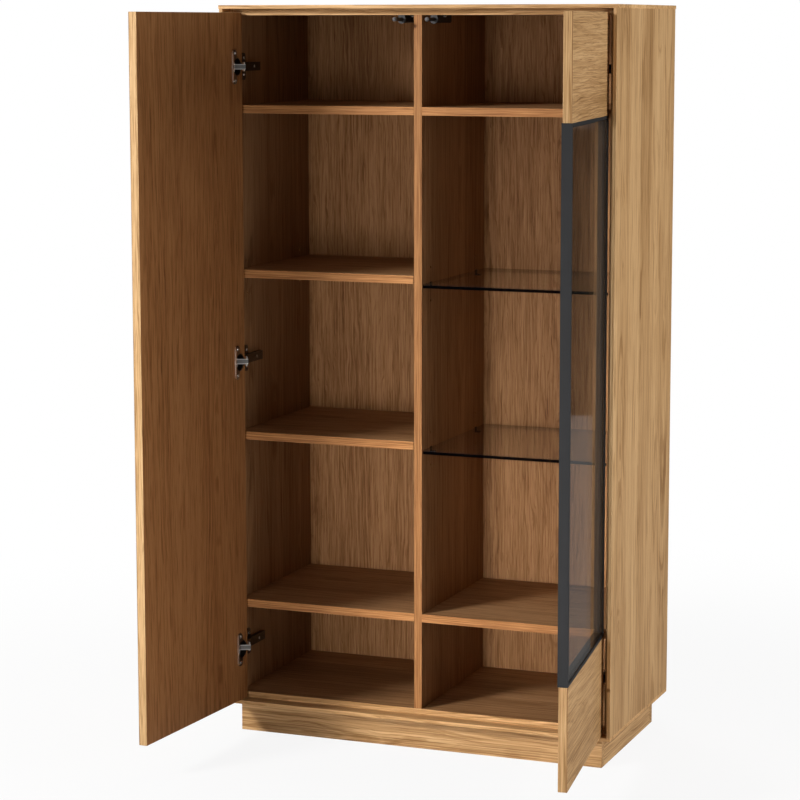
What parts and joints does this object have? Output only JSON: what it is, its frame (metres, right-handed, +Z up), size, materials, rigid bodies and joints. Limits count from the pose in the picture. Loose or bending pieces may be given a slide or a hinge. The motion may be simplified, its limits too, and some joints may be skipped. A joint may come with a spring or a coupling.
{
  "type": "display cabinet",
  "caption": "Tall oak display cabinet on a set-back plinth: oak and smoked glass shelves behind a solid oak door and a framed glass door, on concealed hinges with push latches.",
  "frame": {"origin": "middle of the plinth's outline, on the floor, on the underside of its centre rail", "axes": "+Z up, +X to the cabinet's right as seen from the front, -Y out of the front towards the viewer"},
  "size_m": [0.8338, 0.7592, 1.434],
  "materials": {
    "oak": "oiled oak veneer, satin",
    "beech": "plain beech dowel",
    "black_frame": "anthracite powder coat, matt",
    "smoked_glass": "smoked grey-brown, polished",
    "black_rubber": "matt seal",
    "nickel": "nickel plated",
    "bright_steel": "zinc plated",
    "dark_plastic": "moulded, matt",
    "pale_plastic": "moulded, matt"
  },
  "bodies": {
    "cabinet": {"back_panel": "oak", "bottom_panel": "oak", "cabinet_screws": "bright_steel", "centre_partition": "oak", "glass_shelf_supports": "nickel", "left_bottom_hinge_arm": "nickel", "left_bottom_hinge_plate": "nickel", "left_bottom_shelf": "oak", "left_latch_housing": "dark_plastic", "left_lower_shelf": "oak", "left_middle_hinge_arm": "nickel", "left_middle_hinge_plate": "nickel", "left_side_panel": "oak", "left_top_hinge_arm": "nickel", "left_top_hinge_plate": "nickel", "left_top_shelf": "oak", "left_upper_shelf": "oak", "lower_glass_shelf": "smoked_glass", "plinth_centre_rail": "oak", "plinth_corner_blocks": "oak", "plinth_front_board": "oak", "plinth_left_board": "oak", "plinth_rear_board": "oak", "plinth_right_board": "oak", "right_bottom_hinge_arm": "nickel", "right_bottom_hinge_plate": "nickel", "right_bottom_shelf": "oak", "right_latch_housing": "dark_plastic", "right_side_panel": "oak", "right_top_hinge_arm": "nickel", "right_top_hinge_plate": "nickel", "right_top_shelf": "oak", "shelf_pins": "bright_steel", "top_panel": "oak", "upper_glass_shelf": "smoked_glass", "wooden_dowels": "beech"},
    "left_door": {"left_bottom_hinge_cup": "nickel", "left_cup_screws": "bright_steel", "left_door_panel": "oak", "left_hinge_pins": "bright_steel", "left_middle_hinge_cup": "nickel", "left_top_hinge_cup": "nickel"},
    "left_plunger": {"left_latch_plunger": "dark_plastic", "left_latch_tip": "pale_plastic"},
    "right_door": {"right_bottom_hinge_cup": "nickel", "right_cup_screws": "bright_steel", "right_door_bottom_panel": "oak", "right_door_bottom_rail": "black_frame", "right_door_free_stile": "black_frame", "right_door_glass": "smoked_glass", "right_door_hinge_stile": "black_frame", "right_door_seal": "black_rubber", "right_door_steel_dowels": "bright_steel", "right_door_top_panel": "oak", "right_door_top_rail": "black_frame", "right_hinge_pins": "bright_steel", "right_top_hinge_cup": "nickel"},
    "right_plunger": {"right_latch_plunger": "dark_plastic", "right_latch_tip": "pale_plastic"}
  },
  "joints": [
    {"name": "left_door_swing", "type": "hinge", "parent": "cabinet", "child": "left_door", "pos_m": [-0.3715, -0.191, 0.744], "axis": [0, 0, -1], "range_deg": [-94.1, 4.9]},
    {"name": "right_door_swing", "type": "hinge", "parent": "cabinet", "child": "right_door", "pos_m": [0.3715, -0.191, 0.744], "axis": [0, 0, 1], "range_deg": [-97.7, 1.3]},
    {"name": "left_plunger_slide", "type": "slide", "parent": "cabinet", "child": "left_plunger", "axis": [0, 1, 0], "range_m": [-0.0021, 0.0286]},
    {"name": "right_plunger_slide", "type": "slide", "parent": "cabinet", "child": "right_plunger", "axis": [0, 1, 0], "range_m": [-0.0009, 0.0286]}
  ],
  "couplings": [
    {"joint": "left_plunger_slide", "follows": "left_door_swing", "m_per_rad": -0.017353},
    {"joint": "right_plunger_slide", "follows": "right_door_swing", "m_per_rad": -0.016714}
  ]
}
